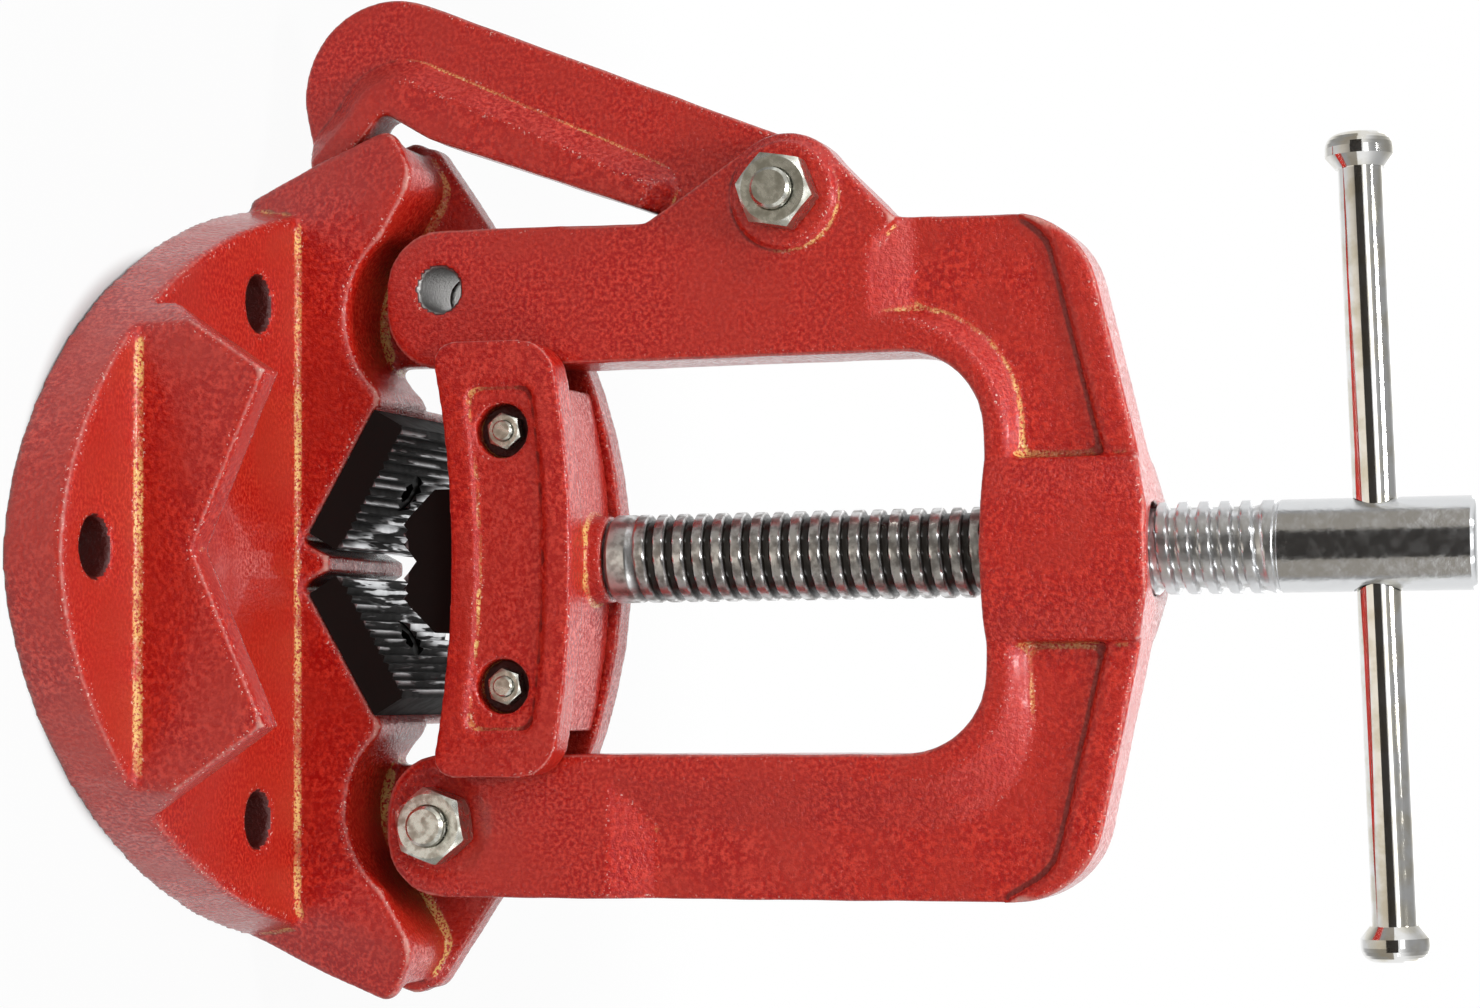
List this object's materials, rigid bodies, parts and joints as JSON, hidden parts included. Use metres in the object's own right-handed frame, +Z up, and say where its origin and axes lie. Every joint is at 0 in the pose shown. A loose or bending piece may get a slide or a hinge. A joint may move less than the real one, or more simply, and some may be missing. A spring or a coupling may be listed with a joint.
{
  "type": "bench yoke pipe vise",
  "caption": "Bench pipe vise: cast D-shaped foot with a V of toothed jaws, a hinged yoke held shut by a swinging hook, and a screw with a T-handle that drives an upper jaw down.",
  "frame": {"origin": "on the bench face of the foot, straight below the axis of the screw", "axes": "+Z up along the screw, +X to the right as seen from the front, where the hinge is, +Y away from the front"},
  "size_m": [0.256, 0.172, 0.3087],
  "materials": {
    "red_enamel": "glossy red enamel over rough sand-cast iron",
    "jaw_steel": "blackened hardened steel with bare tooth crests",
    "zinc_steel": "bright zinc plate",
    "screw_steel": "turned steel with oil in the thread",
    "chrome_plate": "polished plated steel"
  },
  "bodies": {
    "base": {"base_casting": "red_enamel", "lower_jaw_left": "jaw_steel", "lower_jaw_right": "jaw_steel", "lower_jaw_screws": "jaw_steel", "hinge_bolt": "zinc_steel", "hinge_nut": "zinc_steel"},
    "yoke": {"yoke_casting": "red_enamel", "latch_bolt": "zinc_steel", "latch_nut": "zinc_steel"},
    "latch": {"latch_hook": "red_enamel"},
    "carriage": {"jaw_carriage": "red_enamel", "rear_guide_plate": "red_enamel", "guide_bolts": "zinc_steel", "guide_nuts": "zinc_steel", "upper_jaw": "jaw_steel", "upper_jaw_pin": "zinc_steel", "spindle_pins": "zinc_steel"},
    "screw": {"spindle": "screw_steel"},
    "handle": {"handle_bar": "chrome_plate", "handle_knob_left": "chrome_plate", "handle_knob_right": "chrome_plate"}
  },
  "joints": [
    {"name": "yoke_hinge", "type": "hinge", "parent": "base", "child": "yoke", "pos_m": [0.066, 0, 0.0535], "axis": [0, 1, 0], "range_deg": [0, 60]},
    {"name": "latch_swing", "type": "hinge", "parent": "yoke", "child": "latch", "pos_m": [-0.088, 0, 0.1445], "axis": [0, 1, 0], "range_deg": [0, 109]},
    {"name": "jaw_slide", "type": "slide", "parent": "yoke", "child": "carriage", "axis": [0, 0, 1], "range_m": [-0.008, 0.08]},
    {"name": "screw_turn", "type": "hinge", "parent": "carriage", "child": "screw", "pos_m": [0, 0, 0.15], "axis": [0, 0, 1], "range_deg": [-580, 5765]},
    {"name": "handle_slide", "type": "slide", "parent": "screw", "child": "handle", "axis": [0.9996, 0, 0.0279], "range_m": [-0.077, 0.077]}
  ],
  "couplings": [
    {"joint": "latch_swing", "follows": "yoke_hinge", "ratio": 1.8},
    {"joint": "screw_turn", "follows": "jaw_slide", "rad_per_m": 1256.6}
  ]
}
